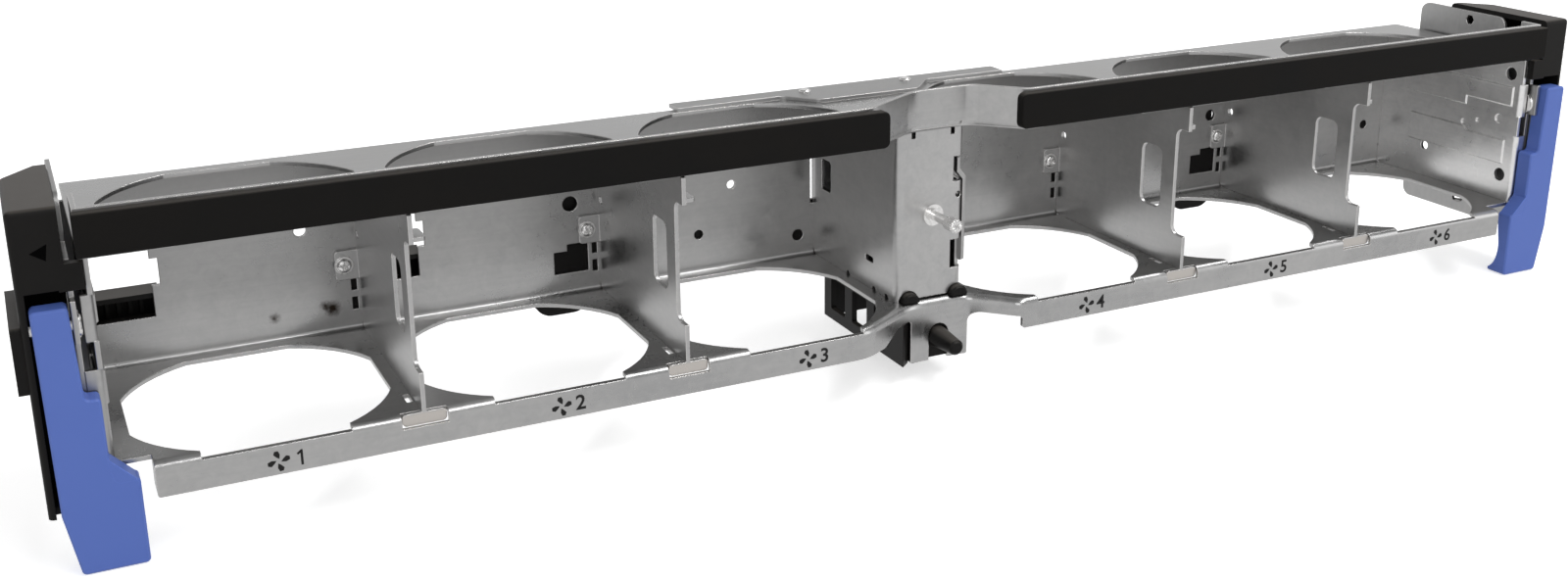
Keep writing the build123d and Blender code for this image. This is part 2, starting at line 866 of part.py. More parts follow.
# End walls: a flat sheet with two raised pads and a front edge bent outward
wall_front = front + end_setback
with BuildPart() as end_wall:
    with BuildSketch(side_plane(half_span)):
        side_rectangle((end_setback, bay_depth), (0, bay_height))
        for low, high in ((0, wall_flange_low), (wall_flange_mid, wall_flange_high)):
            side_rectangle((end_setback, end_setback + bend_radius), (low, high), Mode.SUBTRACT)
    extrude(amount=sheet)
    fillet(end_wall.edges().filter_by(Axis.X).group_by(Axis.Y)[-1], bend_radius)
    for low, high, reach in (
        (0, wall_flange_low, plate_inner),
        (wall_flange_mid, wall_flange_high, plate_inner - upper_flange_gap),
    ):
        with BuildSketch(Plane.XY.offset(floor + low)):
            with BuildLine():
                FilletPolyline(
                    (half_span, wall_front + bend_radius),
                    (half_span, wall_front),
                    (reach, wall_front),
                    radius=bend_radius - lip_corner,
                )
                Line((reach, wall_front), (reach, wall_front + sheet))
                FilletPolyline(
                    (reach, wall_front + sheet),
                    (wall_face, wall_front + sheet),
                    (wall_face, wall_front + bend_radius),
                    radius=bend_radius - sheet - lip_corner,
                )
                Line((wall_face, wall_front + bend_radius), (half_span, wall_front + bend_radius))
            make_face()
        extrude(amount=high - low)
    upper_back = bay_depth - upper_pad_back
    lower_back = bay_depth - lower_pad_back
    pads = (
        (
            (upper_pad_front, upper_pad_high),
            (upper_back, upper_pad_high),
            (upper_back, upper_pad_low),
            (pad_step_depth, upper_pad_low),
            (pad_step_depth, upper_pad_low + upper_pad_step),
            (upper_pad_front, upper_pad_low + upper_pad_step),
        ),
        (
            (lower_pad_front, lower_pad_low),
            (lower_back, lower_pad_low),
            (lower_back, lower_pad_high),
            (pad_step_depth, lower_pad_high),
            (pad_step_depth - lower_pad_step, lower_pad_high - lower_pad_step),
            (lower_pad_front, lower_pad_high - lower_pad_step),
        ),
    )
    for corners in pads:
        points = [(front + depth, floor + height) for depth, height in corners]
        with BuildSketch(side_plane(half_span)):
            with BuildLine():
                Polyline(*points, close=True)
            make_face()
        extrude(amount=-emboss, taper=emboss_slope)
        with BuildSketch(side_plane(wall_face)):
            with BuildLine():
                Polyline(*points, close=True)
            make_face()
        extrude(amount=-emboss, mode=Mode.SUBTRACT)
    with BuildSketch(side_plane(half_span)):
        for depth, height, radius in dimples:
            with Locations((front + depth, floor + height)):
                Circle(radius)
    extrude(amount=sheet / 2, mode=Mode.SUBTRACT)
    with BuildSketch(side_plane(half_span)):
        for z in (floor + wall_hole_low, roof - wall_hole_drop):
            with Locations((front + wall_hole_depth, z)):
                Circle(wall_hole_radius)
        with Locations((-rear_hole_back, floor + rear_hole_height)):
            Circle(rear_hole_radius)
    extrude(amount=sheet, mode=Mode.SUBTRACT)
save_pair(end_wall, "end_wall")

# Outer plates: carry the lever pivots, and reach the end walls with a rear flange
with BuildPart() as outer_plate:
    plate_back = -outer_plate_back
    with BuildSketch(side_plane(plate_inner)) as outer_view:
        with BuildLine():
            Polyline(
                (front + outer_plate_front, floor - outer_plate_low),
                (plate_back, floor - outer_plate_low),
                (plate_back, floor + outer_tab_high),
                (front + outer_tab_front, floor + outer_tab_high),
                (front + outer_tab_front, floor + outer_plate_high),
                (front + outer_plate_front, floor + outer_plate_high),
                (front + outer_plate_front, floor + wall_flange_high),
                (front + nose_front, floor + wall_flange_high),
                (front + nose_front, floor + nose_low),
                (front + outer_plate_front, floor + nose_low),
                close=True,
            )
        make_face()
        fillet(outer_view.vertices().group_by(Axis.Y)[-1], outer_plate_corner)
        fillet(outer_view.vertices().group_by(Axis.Y)[0], outer_plate_corner)
        with Locations((front + oval_depth, floor - oval_height)):
            SlotOverall(oval_length, oval_width, mode=Mode.SUBTRACT)
        with Locations((front + hex_depth, floor + hex_height)):
            RegularPolygon(hex_radius, 6, mode=Mode.SUBTRACT)
        with Locations((pivot_y, pivot_z)):
            Circle(pin_radius, mode=Mode.SUBTRACT)
        with Locations((-outer_hole_back, floor + outer_hole_height)):
            Circle(outer_hole_radius, mode=Mode.SUBTRACT)
    extrude(amount=sheet)
    box_between(
        (wall_face, plate_back - sheet, floor - outer_flange_low),
        (plate_inner, plate_back, floor + outer_plate_high),
    )
save_pair(outer_plate, "outer_plate")

# End housings: a hollow cap, an outer wall, a floor, a web and a rail in one moulding
with BuildPart() as end_housing:
    with BuildSketch(Plane.XY.offset(floor - housing_low)) as housing_plan:
        with BuildLine():
            FilletPolyline(
                (housing_inner, front + housing_front),
                (housing_outer, front + housing_front),
                (housing_outer, front + housing_back - housing_chamfer),
                (housing_outer - housing_chamfer + housing_wall, front + housing_back),
                (housing_inner, front + housing_back),
                radius=housing_round,
            )
            Line((housing_inner, front + housing_back), (housing_inner, front + housing_front))
        make_face()
    extrude(amount=housing_low + housing_high)
    crown = end_housing.faces().sort_by(Axis.Z)[-1].edges()
    fillet(crown.filter_by(lambda e: e.center().X > housing_inner + near), housing_round)
    wall_inner = housing_outer - housing_wall
    box_between(
        (housing_inner, front, floor - housing_low + housing_wall),
        (wall_inner, front + housing_back, floor + cap_low),
        mode=Mode.SUBTRACT,
    )
    box_between(
        (housing_inner, front, floor - housing_low),
        (wall_inner, front + floor_front, floor),
        mode=Mode.SUBTRACT,
    )
    with BuildSketch(Plane.XY.offset(floor + cap_low + housing_wall)):
        add(housing_plan.sketch)
        offset(amount=-housing_wall, kind=Kind.INTERSECTION)
        with Locations((housing_inner, front + housing_front + housing_wall)):
            hollow_depth = housing_back - housing_front - 2 * housing_wall
            Rectangle(2 * housing_wall, hollow_depth, align=(Align.CENTER, Align.MIN))
    extrude(amount=housing_high - cap_low - 2 * housing_wall, mode=Mode.SUBTRACT)
    box_between(
        (housing_inner, front + web_front, floor - housing_low),
        (wall_inner, front + web_front + housing_wall, floor + cap_low),
    )
    with BuildSketch(side_plane(housing_outer)):
        rail_depths = (housing_front + housing_wall, housing_back - housing_chamfer)
        side_rectangle(rail_depths, (rail_low, rail_high), corner=rail_round)
    extrude(amount=rail_proud)
    box_between(
        (housing_inner - hood_reach, front + housing_front, floor + hood_low),
        (housing_inner, front + end_setback, floor + hood_high),
    )
    box_between(
        (housing_inner, front + housing_front, floor + hood_low),
        (housing_inner + housing_wall, front + end_setback, floor + hood_high),
    )
    with BuildSketch(side_plane(wall_inner)):
        with Locations((pivot_y, pivot_z)):
            Circle(pin_radius)
    extrude(amount=housing_wall, mode=Mode.SUBTRACT)
save_pair(end_housing, "end_housing")

# Release levers: a moulded grip, a steel arm behind it and the pin they turn on
lever_outer = wall_inner - lever_outer_play
lever_back = front + lever_thickness
foot_left = wall_face + lever_neck_gap - lever_foot_reach
lever_points = (
    (lever_outer, lever_top),
    (housing_inner + lever_top_gap, lever_top),
    (housing_inner - lever_neck_gap, lever_neck_height),
    (wall_face + lever_neck_gap, lever_neck_height),
    (wall_face + lever_neck_gap, lever_waist_height),
    (foot_left + lever_shoulder, -lever_shoulder_drop),
    (foot_left, -lever_shoulder_drop),
    (foot_left, -lever_bottom),
    (lever_outer - lever_foot_inset, -lever_bottom),
    (lever_outer - lever_top_gap, -lever_knee_drop),
)
with BuildPart() as lever_grip:
    with BuildSketch(side_plane(foot_left)):
        with BuildLine():
            Polyline(
                (lever_back, floor - lever_shoulder_drop),
                (lever_back, floor + lever_top),
                (front, floor + lever_top),
                (front, floor - lever_bottom),
                (front + lever_hook_depth, floor - lever_bottom),
                (front + lever_hook_depth, floor - lever_bottom + lever_hook_height),
            )
            Spline(
                (front + lever_hook_depth, floor - lever_bottom + lever_hook_height),
                (front + lever_grip_depth, floor - lever_grip_drop),
                (lever_back, floor - lever_shoulder_drop),
                tangents=((-1, 0.6), (0, 1)),
            )
        make_face()
    extrude(amount=lever_outer - foot_left)
    with BuildSketch(front_plane(front)) as lever_view:
        with BuildLine():
            Polyline(*[(x, floor + z) for x, z in lever_points], close=True)
        make_face()
        fillet(lever_view.vertices(), lever_round)
    extrude(amount=-lever_hook_depth, mode=Mode.INTERSECT)
    rim = lever_grip.faces().filter_by(Axis.Y).sort_by(Axis.Y)[0].edges()
    chamfer(rim, lever_rim_chamfer)
    with BuildSketch(front_plane(lever_back)) as pocket_view:
        with BuildLine():
            Polyline(*[(x, floor + z) for x, z in lever_points], close=True)
        make_face()
        offset(amount=-lever_wall, kind=Kind.INTERSECTION)
        lever_span = lever_outer - foot_left
        pocket_middle = (lever_outer + foot_left) / 2
        with Locations((pocket_middle, floor - lever_bottom)):
            Rectangle(lever_span, 2 * (lever_bottom + lever_pocket_low), mode=Mode.SUBTRACT)
        for height in lever_rib_heights:
            with Locations((pocket_middle, floor + height)):
                Rectangle(lever_span, lever_wall, mode=Mode.SUBTRACT)
    extrude(amount=lever_thickness - lever_wall, mode=Mode.SUBTRACT)
    with BuildSketch(side_plane(housing_inner + boss_play + arm_thickness + arm_gap)):
        with Locations((pivot_y, pivot_z)):
            Circle(boss_radius)
    extrude(amount=lever_outer - housing_inner - 2 * boss_play - arm_thickness)
    with BuildSketch(side_plane(foot_left)):
        with Locations((pivot_y, pivot_z)):
            Circle(pin_radius + pin_play)
    extrude(amount=lever_outer - foot_left, mode=Mode.SUBTRACT)
save_pair(lever_grip, "lever_grip")

arm_face = housing_inner + arm_gap
with BuildPart() as lever_arm:
    with BuildSketch(side_plane(arm_face)) as arm_view:
        with BuildLine():
            Polyline(
                (lever_back, pivot_z),
                (lever_back, floor + arm_low),
                (front + arm_depth, floor + arm_low),
                (front + arm_depth, floor + cam_height - cam_width),
                (front + cam_depth, floor + cam_height),
                (pivot_y + arm_radius, pivot_z),
                close=True,
            )
        make_face()
        with Locations((pivot_y, pivot_z)):
            Circle(arm_radius)
        with Locations((front + lever_thickness / 2, pivot_z)):
            Rectangle(lever_thickness, 2 * arm_radius, mode=Mode.SUBTRACT)
        fillet(arm_view.vertices().group_by(Axis.Y)[0], sheet)
        with Locations((pivot_y, pivot_z)):
            Circle(pin_radius + pin_play, mode=Mode.SUBTRACT)
    extrude(amount=arm_thickness)
save_pair(lever_arm, "lever_arm")

with BuildPart() as pivot_pin:
    with BuildSketch(side_plane(plate_inner - pin_head_height)):
        with Locations((pivot_y, pivot_z)):
            Circle(pin_head_radius)
    extrude(amount=pin_head_height)
    with BuildSketch(side_plane(plate_inner)):
        with Locations((pivot_y, pivot_z)):
            Circle(pin_radius)
    extrude(amount=housing_outer - plate_inner)
    chamfer(pivot_pin.edges().filter_by(GeomType.CIRCLE).group_by(Axis.X)[0], pin_head_height / 2)
save_pair(pivot_pin, "pivot_pin")

# Trim strips on the upper lip, one on each side of the tower
for name, start, stop in (
    ("left_front_strip", -half_span + strip_left_end, tower_left - strip_left_stop),
    ("right_front_strip", tower_right + strip_right_start, last_bay_end + strip_right_end),
):
    with BuildPart() as strip:
        with BuildSketch(front_plane(front)):
            with Locations(((start + stop) / 2, roof + (strip_low + strip_high) / 2)):
                RectangleRounded(stop - start, strip_high - strip_low, strip_corner)
        extrude(amount=strip_thickness)
        chamfer(strip.faces().sort_by(Axis.Y)[0].edges(), strip_edge)
    save(strip, name)

# Rear bracket on the upper plate, widened in the middle, with its two rivets
with BuildPart() as rear_bracket:
    with BuildSketch(Plane.XY.offset(plate_top)) as bracket_view:
        with BuildLine():
            Polyline(
                (-bracket_left, bracket_overhang),
                (-bracket_left, -bracket_depth),
                (-bracket_pad - bracket_slope, -bracket_depth),
                (-bracket_pad, -bracket_pad_depth),
                (bracket_pad, -bracket_pad_depth),
                (bracket_pad + bracket_slope, -bracket_depth),
                (bracket_right, -bracket_depth),
                (bracket_right, bracket_overhang),
                close=True,
            )
        make_face()
        pad_end = bracket_pad + bracket_slope + near
        fillet(bracket_view.vertices().filter_by_position(Axis.X, -pad_end, pad_end), bracket_round)
        for x in (-rivet_left, rivet_right):
            with Locations((x, -rivet_back)):
                Circle(rivet_radius, mode=Mode.SUBTRACT)
    extrude(amount=sheet)
save(rear_bracket, "rear_bracket")

with BuildPart() as bracket_rivets:
    for x in (-rivet_left, rivet_right):
        with BuildSketch(Plane.XY.offset(plate_top + sheet)):
            with Locations((x, -rivet_back)):
                Circle(rivet_head_radius)
        extrude(amount=rivet_head_height)
        with BuildSketch(Plane.XY.offset(roof)):
            with Locations((x, -rivet_back)):
                Circle(rivet_radius)
        extrude(amount=2 * sheet)
    heads = bracket_rivets.edges().filter_by(GeomType.CIRCLE).group_by(Axis.Z)[-1]
    chamfer(heads, rivet_head_height / 2)
save(bracket_rivets, "bracket_rivets")

# Fan connectors: hollow sockets behind the windows of the back wall
for number, start in enumerate(bay_starts, 1):
    left = start + connector_left
    right = left + connector_width
    low = floor + connector_low
    high = floor + connector_high
    with BuildPart() as connector:
        box_between((left, 0, low), (right, connector_depth, high))
        box_between(
            (left + connector_wall, 0, low + connector_wall),
            (right - connector_wall, connector_depth - connector_wall, high - connector_wall),
            mode=Mode.SUBTRACT,
        )
        for i in range(connector_contacts):
            x = (left + right) / 2 + (i - (connector_contacts - 1) / 2) * connector_pitch
            box_between(
                (x - contact_width / 2, contact_setback, low + 2 * connector_wall),
                (x + contact_width / 2, connector_depth, high - 2 * connector_wall),
            )
    save(connector, f"fan_connector_{number}")

# Cable tray behind the back wall: it passes round the connectors and the guides
with BuildPart() as cable_tray:
    tray_left = left_start + tray_inset
    tray_right = last_bay_end - tray_inset
    tray_floor = floor + tray_low
    box_between((tray_left, 0, tray_floor), (tray_right, tray_thickness, floor + tray_high))
    box_between((tray_left, 0, tray_floor), (tray_right, tray_shelf, tray_floor + tray_thickness))
    for start in bay_starts:
        left = start + connector_left
        box_between(
            (left - tray_play, 0, floor + connector_low - tray_play),
            (left + connector_width + tray_play, tray_thickness, floor + connector_high),
            mode=Mode.SUBTRACT,
        )
    for start in guide_bays:
        box_between(
            (start + guide_left - tray_play, 0, tray_floor),
            (start + guide_right + tray_play, tray_shelf, floor + guide_high + tray_play),
            mode=Mode.SUBTRACT,
        )
save(cable_tray, "cable_tray")

# Guides behind the back wall, one for each row of bays, with an ear behind the tray
for name, start in zip(("rear_guide_left", "rear_guide_right"), guide_bays):
    middle = start + (guide_left + guide_right) / 2
    guide_z = floor + (guide_high - guide_low) / 2
    guide_width = guide_right - guide_left
    guide_height = guide_high + guide_low
    with BuildPart() as guide:
        with BuildSketch(Plane.XZ) as guide_view:
            with Locations((middle, guide_z)):
                Rectangle(guide_width, guide_height)
            fillet(guide_view.vertices().group_by(Axis.Y)[0], guide_corner)
        extrude(amount=-guide_depth)
        with BuildSketch(Plane.XZ.offset(-guide_wall)) as guide_hollow:
            with Locations((middle, guide_z)):
                Rectangle(guide_width - 2 * guide_wall, guide_height - 2 * guide_wall)
            fillet(guide_hollow.vertices().group_by(Axis.Y)[0], guide_corner - guide_wall)
        extrude(amount=-guide_depth, mode=Mode.SUBTRACT)
        with BuildSketch(Plane.XZ.offset(-tray_thickness - tray_play)):
            with BuildLine():
                Polyline(
                    (start + ear_left, floor + guide_high - guide_wall),
                    (start + ear_right, floor + guide_high - guide_wall),
                    (start + ear_right, floor + ear_head_low),
                    (start + ear_head_right, floor + ear_head_low),
                    (start + ear_head_right, floor + ear_high),
                    (start + ear_left, floor + ear_high),
                    close=True,
                )
            make_face()
        extrude(amount=-guide_wall)
    save(guide, name)

# Moulded box under the tower, with openings in its left side, and its guide pin
with BuildPart() as centre_housing:
    centre_left = tower_left + centre_gap
    centre_right = tower_right - centre_gap
    centre_end = -centre_back
    wing_x = centre_left + centre_wing_width
    with BuildSketch(Plane.XY.offset(floor - centre_drop)) as centre_plan:
        with BuildLine():
            Polyline(
                (centre_left, front + centre_wing_front),
                (wing_x, front + centre_wing_depth),
                (wing_x, front + centre_front),
                (centre_right, front + centre_front),
                (centre_right, centre_end),
                (centre_left, centre_end),
                close=True,
            )
        make_face()
    extrude(amount=centre_drop - centre_wing_top)
    box_between(
        (centre_left, front + recess_depth + bend_radius + centre_gap, floor - centre_wing_top),
        (centre_right, centre_end, floor - sheet),
    )
    box_between(
        (centre_left + centre_wall, front + centre_front + centre_wall, floor - centre_drop),
        (centre_right - centre_wall, centre_end - centre_wall, floor - sheet - centre_wall),
        mode=Mode.SUBTRACT,
    )
    with BuildSketch(side_plane(centre_left)):
        for depth in centre_window_depths:
            side_rectangle(
                (depth, depth + centre_window_length),
                (-centre_drop + 2 * centre_wall, -sheet - 2 * centre_wall),
                corner=lip_corner,
            )
    extrude(amount=centre_wall, mode=Mode.SUBTRACT)
    for hook_x, post_x in zip(hook_places, post_places):
        half = hook_post_width / 2
        box_between(
            (post_x - half, post_front, floor - sheet - centre_wall),
            (post_x + half, post_front + hook_post_depth, floor + hook_radius / 2),
        )
        with BuildSketch(front_plane(hook_front)):
            with Locations((hook_x, floor)):
                Circle(hook_radius)
            with Locations((hook_x, floor + (hook_radius + hook_play) / 2)):
                Rectangle(2 * hook_radius, hook_radius, mode=Mode.INTERSECT)
        extrude(amount=-hook_length)
    noses = centre_housing.faces().filter_by_position(Axis.Y, hook_front - near, hook_front + near)
    chamfer(noses.edges().filter_by(GeomType.CIRCLE), hook_chamfer)
save(centre_housing, "centre_housing")

with BuildPart() as guide_pin:
    pin_z = floor - guide_pin_height
    pin_plane = Plane(origin=(arch_x, front + centre_front, pin_z), x_dir=(1, 0, 0), z_dir=(0, 0, 1))
    with BuildSketch(pin_plane):
        with BuildLine():
            Polyline(
                (0, 0),
                (guide_pin_radius, 0),
                (guide_pin_radius, -guide_pin_shoulder),
                (guide_pin_tip_radius, -guide_pin_length + guide_pin_chamfer),
                (guide_pin_tip_radius - guide_pin_chamfer, -guide_pin_length),
                (0, -guide_pin_length),
                close=True,
            )
        make_face()
    revolve(axis=Axis((arch_x, 0, pin_z), (0, 1, 0)))
save(guide_pin, "guide_pin")
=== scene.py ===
"""Looks of the fan cage: finishes of every piece, small marks, and the studio.

Units are metres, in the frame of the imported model: X along the row of bays,
Y from the open front to the back wall, Z up.
"""
import json
import math

import bmesh
import bpy
from mathutils import Matrix, Vector


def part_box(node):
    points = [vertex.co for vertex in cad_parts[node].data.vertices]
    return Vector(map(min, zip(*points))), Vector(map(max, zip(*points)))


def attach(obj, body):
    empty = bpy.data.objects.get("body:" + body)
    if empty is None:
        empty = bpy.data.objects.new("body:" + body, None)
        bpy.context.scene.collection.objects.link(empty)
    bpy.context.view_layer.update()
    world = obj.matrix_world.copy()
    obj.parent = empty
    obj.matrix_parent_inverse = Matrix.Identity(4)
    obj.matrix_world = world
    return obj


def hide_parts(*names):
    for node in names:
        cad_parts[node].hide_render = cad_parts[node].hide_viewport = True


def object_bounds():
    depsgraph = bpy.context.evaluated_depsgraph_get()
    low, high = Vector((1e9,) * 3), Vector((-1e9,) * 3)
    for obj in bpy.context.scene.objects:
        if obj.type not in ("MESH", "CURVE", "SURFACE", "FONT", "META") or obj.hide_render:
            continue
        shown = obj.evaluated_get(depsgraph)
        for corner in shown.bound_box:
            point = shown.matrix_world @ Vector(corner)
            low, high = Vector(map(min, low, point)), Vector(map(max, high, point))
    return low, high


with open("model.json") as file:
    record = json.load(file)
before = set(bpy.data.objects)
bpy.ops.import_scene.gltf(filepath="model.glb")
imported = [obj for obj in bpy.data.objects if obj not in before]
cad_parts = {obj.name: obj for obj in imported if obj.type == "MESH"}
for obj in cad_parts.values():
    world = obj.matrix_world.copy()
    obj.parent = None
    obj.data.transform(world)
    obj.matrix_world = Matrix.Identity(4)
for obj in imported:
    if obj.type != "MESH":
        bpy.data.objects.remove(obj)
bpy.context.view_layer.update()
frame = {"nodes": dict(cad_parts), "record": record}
MM = 0.001

# Camera: a pinhole camera that sees the cage as the photograph does
PHOTO_WIDTH = 1600
SENSOR_WIDTH = 36.0
CAMERA_PLACE = Vector((-209.36, -390.35, 124.68)) * MM
CAMERA_YAW = math.radians(25.924)
CAMERA_PITCH = math.radians(17.132)
CAMERA_ROLL = math.radians(-0.435)
CAMERA_FOCAL_PX = 1693.1
CAMERA_DROP_PX = 80.0


def make_camera():
    """The camera of the main view, turned by yaw, pitch and roll."""
    forward = Vector((
        math.sin(CAMERA_YAW) * math.cos(CAMERA_PITCH),
        math.cos(CAMERA_YAW) * math.cos(CAMERA_PITCH),
        -math.sin(CAMERA_PITCH),
    ))
    level = forward.cross(Vector((0, 0, 1))).normalized()
    up = level.cross(forward)
    right = level * math.cos(CAMERA_ROLL) + up * math.sin(CAMERA_ROLL)
    up = up * math.cos(CAMERA_ROLL) - level * math.sin(CAMERA_ROLL)
    data = bpy.data.cameras.new("photo_camera")
    data.sensor_width = SENSOR_WIDTH
    data.lens = CAMERA_FOCAL_PX / PHOTO_WIDTH * SENSOR_WIDTH
    data.shift_y = -CAMERA_DROP_PX / PHOTO_WIDTH
    data.clip_start = 0.01
    data.clip_end = 50
    camera = bpy.data.objects.new("photo_camera", data)
    bpy.context.scene.collection.objects.link(camera)
    camera.matrix_world = Matrix((
        (right.x, up.x, -forward.x, CAMERA_PLACE.x),
        (right.y, up.y, -forward.y, CAMERA_PLACE.y),
        (right.z, up.z, -forward.z, CAMERA_PLACE.z),
        (0, 0, 0, 1),
    ))
    bpy.context.scene.camera = camera


BEVEL_SAMPLES = 8
SPOT_SCALE = 1100


class Nodes:
    """A short way to write the node tree of one material."""

    def __init__(self, name):
        self.material = bpy.data.materials.new(name)
        self.material.use_nodes = True
        self.tree = self.material.node_tree
        self.tree.nodes.clear()
        self.shader = self.add("ShaderNodeBsdfPrincipled")
        self.output = self.add("ShaderNodeOutputMaterial")
        self.link(self.shader.outputs[0], self.output.inputs[0])
        self.place = self.add("ShaderNodeTexCoord").outputs["Object"]

    def add(self, kind, **values):
        node = self.tree.nodes.new(kind)
        for key, value in values.items():
            setattr(node, key, value)
        return node

    def link(self, source, target):
        self.tree.links.new(source, target)

    def put(self, node, key, value):
        """Set a socket: to a number or colour, or to what another socket gives."""
        if isinstance(value, bpy.types.NodeSocket):
            self.link(value, node.inputs[key])
        else:
            node.inputs[key].default_value = value

    def stretch(self, scale):
        """Places on the piece, scaled differently along X, Y and Z."""
        node = self.add("ShaderNodeMapping")
        self.link(self.place, node.inputs["Vector"])
        node.inputs["Scale"].default_value = scale
        return node.outputs[0]

    def noise(self, scale, detail=3.0, rough=0.5, warp=0.0, stretch=(1, 1, 1)):
        node = self.add("ShaderNodeTexNoise")
        self.link(self.stretch(stretch), node.inputs["Vector"])
        self.put(node, "Scale", scale)
        self.put(node, "Detail", detail)
        self.put(node, "Roughness", rough)
        self.put(node, "Distortion", warp)
        return node.outputs["Fac"]

    def axis(self, source, name):
        """One of X, Y and Z of a place or direction."""
        node = self.add("ShaderNodeSeparateXYZ")
        self.link(source, node.inputs[0])
        return node.outputs[name]

    def facing_up(self, low=0.55, high=0.95):
        """1 on faces that look up, which take dust and a painted sheen."""
        normal = self.add("ShaderNodeTexCoord").outputs["Normal"]
        return self.ramp(self.axis(normal, "Z"), low, high)

    def spot(self, centre, radius, ragged):
        """1 in a ragged spot round a place on the piece."""
        node = self.add("ShaderNodeVectorMath", operation="DISTANCE")
        self.link(self.place, node.inputs[0])
        node.inputs[1].default_value = centre
        rough = self.noise(SPOT_SCALE, detail=4, rough=0.65)
        uneven = self.math("MULTIPLY", rough, ragged)
        reach = self.math("ADD", node.outputs["Value"], uneven)
        return self.ramp(reach, radius, radius + ragged, 1.0, 0.0)

    def ramp(self, value, low, high, start=0.0, stop=1.0):
        """From start, where the value is at low, to stop, where it is at high."""
        node = self.add("ShaderNodeMapRange", clamp=True)
        self.put(node, "Value", value)
        self.put(node, "From Min", low)
        self.put(node, "From Max", high)
        self.put(node, "To Min", start)
        self.put(node, "To Max", stop)
        return node.outputs[0]

    def uneven(self, source, value, down, up):
        """A value that wavers with a noise, by this much down and up."""
        return self.ramp(source, 0.3, 0.7, value - down, value + up)

    def math(self, operation, a, b=0.0):
        node = self.add("ShaderNodeMath", operation=operation)
        self.put(node, 0, a)
        self.put(node, 1, b)
        return node.outputs[0]

    def mix(self, factor, a, b):
        """Colour a where the factor is 0, and colour b where it is 1."""
        node = self.add("ShaderNodeMix", data_type="RGBA")
        self.put(node, 0, factor)
        self.put(node, 6, a)
        self.put(node, 7, b)
        return node.outputs[2]

    def rounded_normal(self, radius):
        """The direction of the surface, as if its edges had this radius."""
        bevel = self.add("ShaderNodeBevel", samples=BEVEL_SAMPLES)
        self.put(bevel, "Radius", radius)
        return bevel.outputs[0]

    def edge(self, radius, low=0.02, high=0.35):
        """1 along the edges of the piece and 0 on its flats."""
        rounded = self.rounded_normal(radius)
        flat = self.add("ShaderNodeNewGeometry").outputs["Normal"]
        dot = self.add("ShaderNodeVectorMath", operation="DOT_PRODUCT")
        self.link(rounded, dot.inputs[0])
        self.link(flat, dot.inputs[1])
        return self.ramp(self.math("SUBTRACT", 1.0, dot.outputs["Value"]), low, high)

    def bump(self, height, distance, strength=1.0, round_edge=0.0):
        node = self.add("ShaderNodeBump")
        self.put(node, "Height", height)
        self.put(node, "Distance", distance)
        self.put(node, "Strength", strength)
        if round_edge:
            self.link(self.rounded_normal(round_edge), node.inputs["Normal"])
        self.link(node.outputs[0], self.shader.inputs["Normal"])


# Places that finishes and small pieces are set by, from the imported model.
# The first mount is the middle of the back wall, halfway up the bays.
BAY_HEIGHT = 44.5 * MM
FLOOR = frame["record"]["mounts"][0]["pos_m"][2] - BAY_HEIGHT / 2
ROOF = FLOOR + BAY_HEIGHT
STUD_LOW, STUD_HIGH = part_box("tower_stud")
STUD_X = (STUD_LOW.x + STUD_HIGH.x) / 2
STUD_Z = (STUD_LOW.z + STUD_HIGH.z) / 2

# Finishes: a SCALE is in cells per metre, a SHARE is how much of a look is mixed in,
# and a GAIN is the factor from the plain colour to the colour of a look
EDGE_WIDTH = 0.4 * MM
CLOUD_SCALE = 22
CLOUD_SHARE = 0.45
MOTTLE_SCALE = 330
MOTTLE_SHARE = 0.37
STREAK_SCALE = 900
STREAK_SHARE = 0.18
STREAK_RELIEF = 0.4
GRIT_SCALE = 1500
DARK_GAIN = 0.88
LIGHT_GAIN = 1.1
SMUDGE_SCALE = 52
SMUDGE_SHARE = 0.22
SMUDGE_GAIN = 0.7
# Painted highlight: the cut edges of the sheet are lightened in colour
CUT_EDGE_AND_HIGHLIGHT_SHARE = 0.7
CUT_EDGE_AND_HIGHLIGHT_GAIN = 2.0
CUT_EDGE_AND_HIGHLIGHT_LIMIT = 0.93
CUT_EDGE_GLOSS = 0.1
# Below a given height the sheet is lighter and warmer
LIGHTER_BORDER = 0.5 * MM
LIGHTER_GAIN = 1.12
# Painted shade: the sheet darkens over a depth below a top height, standing in for the shade
# under the roof
PAINTED_SHADE_DEPTH = 36 * MM
PAINTED_SHADE_SHARE = 0.62
PAINTED_SHADE_GAIN = 0.3
PAINTED_SHADE_BORDER = 0.4 * MM
STAIN_RAGGED = 1.8 * MM
STAIN_COLOUR = (0.028, 0.020, 0.015, 1)
WALL_STAINS = (
    ((-142.5 * MM, -1 * MM, FLOOR + 5.9 * MM), 1.5 * MM),
    ((-144.2 * MM, -1 * MM, FLOOR + 6.8 * MM), 0.8 * MM),
    ((-156.3 * MM, -1 * MM, FLOOR + 5.7 * MM), 0.7 * MM),
)

# Finish of the mouldings and of the plated steel
WEAR_SCALE = 34
WORN_SHARE = 0.5
# Brownish grey on faces that look up: dust, and a painted sheen for the light they catch
DUST_AND_SHEEN = (0.085, 0.077, 0.069, 1)
DUST_AND_SHEEN_THIN = 0.75
RUBBED_SCALE = 260
RUBBED_GAIN = 2.2
PLATED_SCALE = 1200
DULL_GAIN = 0.82

# Knurl of the stud: crossed waves round its axis and along it
KNURL_WAVES = 9.0
KNURL_RADIUS = 1.8 * MM
KNURL_DEPTH = 0.12 * MM
KNURL_LENGTH = 4.4 * MM
KNURL_BORDER = 0.1 * MM


def grey(value, warm=0.0):
    return (value * (1 + warm), value, value * (1 - warm), 1)


